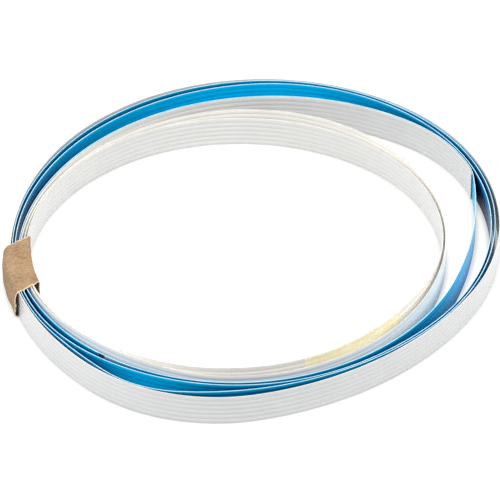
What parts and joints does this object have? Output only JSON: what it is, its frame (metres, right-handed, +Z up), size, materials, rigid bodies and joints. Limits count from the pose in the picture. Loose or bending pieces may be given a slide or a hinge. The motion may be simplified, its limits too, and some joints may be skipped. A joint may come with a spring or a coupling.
{
  "type": "flat flex cable",
  "caption": "Loose ring-shaped coil of white and blue flat flex cable standing on edge, gathered at one side by a torn kraft paper band.",
  "frame": {"origin": "middle of the coil's outline in plan, at the underside of the paper band that it stands on", "axes": "+Z up, across the width of the cable; +X from the paper band across the coil to the far side of the loops"},
  "size_m": [0.228, 0.2234, 0.0158],
  "materials": {
    "white_film": "gloss",
    "blue_film": "gloss",
    "conductor": "satin",
    "kraft_paper": "matte",
    "masking_tape": "satin",
    "black_mark": "satin"
  },
  "bodies": {
    "root": {"outer_white_outer_film": "white_film", "outer_white_inner_film": "white_film", "outer_white_conductors": "conductor", "first_blue_outer_film": "blue_film", "first_blue_inner_film": "blue_film", "first_blue_conductors": "conductor", "second_blue_outer_film": "blue_film", "second_blue_inner_film": "blue_film", "second_blue_conductors": "conductor", "third_blue_outer_film": "blue_film", "third_blue_inner_film": "blue_film", "third_blue_conductors": "conductor", "cut_white_outer_film": "white_film", "cut_white_inner_film": "white_film", "cut_white_conductors": "conductor", "middle_white_outer_film": "white_film", "middle_white_inner_film": "white_film", "middle_white_conductors": "conductor", "inner_white_outer_film": "white_film", "inner_white_inner_film": "white_film", "inner_white_conductors": "conductor", "kraft_band": "kraft_paper", "masking_tape": "masking_tape", "black_mark": "black_mark"}
  },
  "joints": []
}
